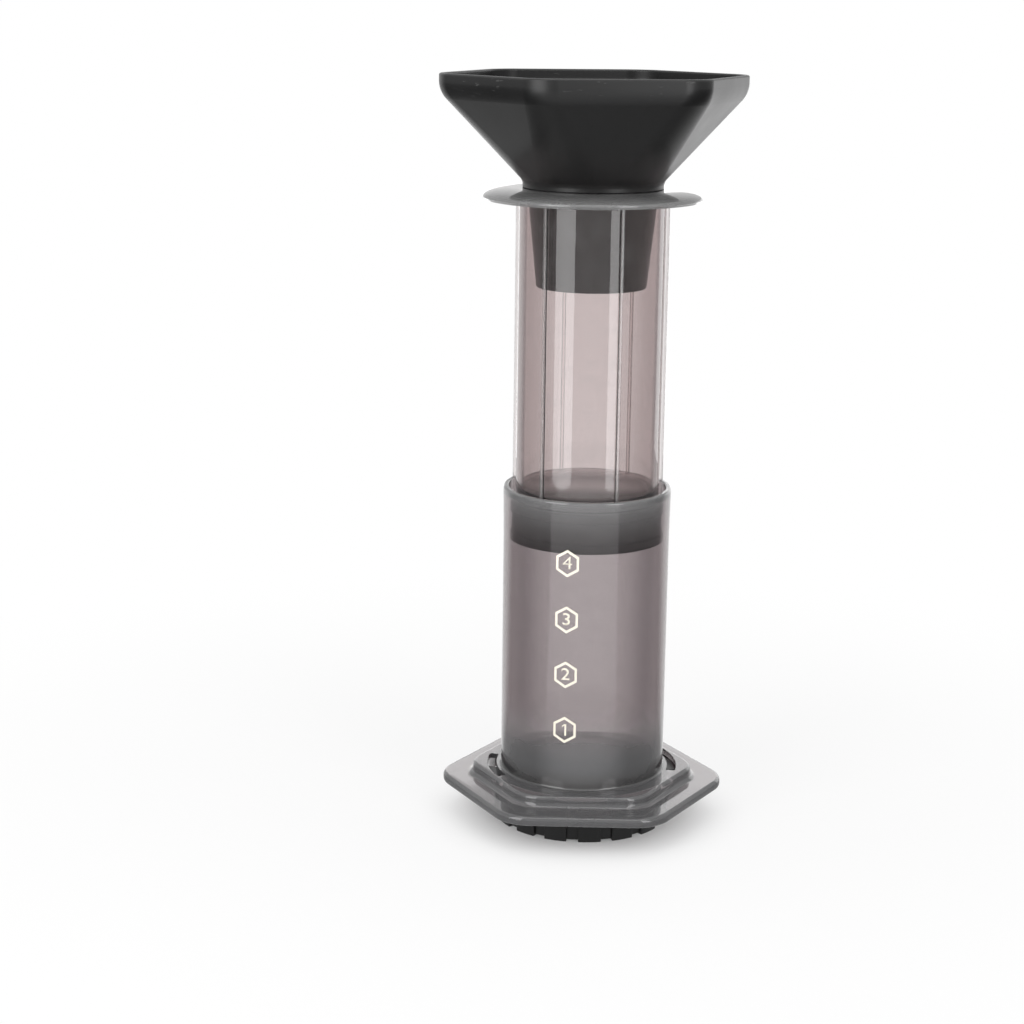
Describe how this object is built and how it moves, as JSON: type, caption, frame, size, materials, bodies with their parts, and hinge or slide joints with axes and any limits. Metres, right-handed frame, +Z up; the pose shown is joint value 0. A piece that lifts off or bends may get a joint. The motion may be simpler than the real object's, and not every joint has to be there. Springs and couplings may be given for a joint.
{
  "type": "coffee_press",
  "caption": "Hand coffee press: smoky see-through chamber on a hexagonal flange, ribbed plunger with rubber seal, twist-on black filter cap and a hexagonal loading funnel on top.",
  "frame": {"origin": "on the press axis, in the plane of the filter cap's grip blocks, where the press stands", "axes": "+Z up along the press axis, -Y to the front, +X to the right of someone facing the front"},
  "size_m": [0.1184, 0.1142, 0.2973],
  "materials": {
    "smoke_plastic": "tinted see-through moulding, glossy",
    "clear_plastic": "lightly tinted see-through moulding, glossy",
    "black_plastic": "satin black moulding",
    "seal_rubber": "soft dark grey rubber",
    "filter_paper": "white filter paper"
  },
  "bodies": {
    "chamber_body": {"chamber": "smoke_plastic"},
    "cap_body": {"filter_cap": "black_plastic", "paper_filter": "filter_paper"},
    "plunger_body": {"plunger": "clear_plastic", "plunger_seal": "seal_rubber"},
    "funnel_body": {"funnel": "black_plastic"}
  },
  "joints": [
    {"name": "plunger_slide", "type": "slide", "parent": "chamber_body", "child": "plunger_body", "axis": [0, 0, 1], "range_m": [-0.1068, 0.085]},
    {"name": "funnel_lift", "type": "slide", "parent": "plunger_body", "child": "funnel_body", "axis": [0, 0, 1], "range_m": [0, 0.06]},
    {"name": "cap_twist", "type": "hinge", "parent": "chamber_body", "child": "cap_body", "pos_m": [0, 0, 0.0128], "axis": [0, 0, 1], "range_deg": [-46, 0]}
  ]
}
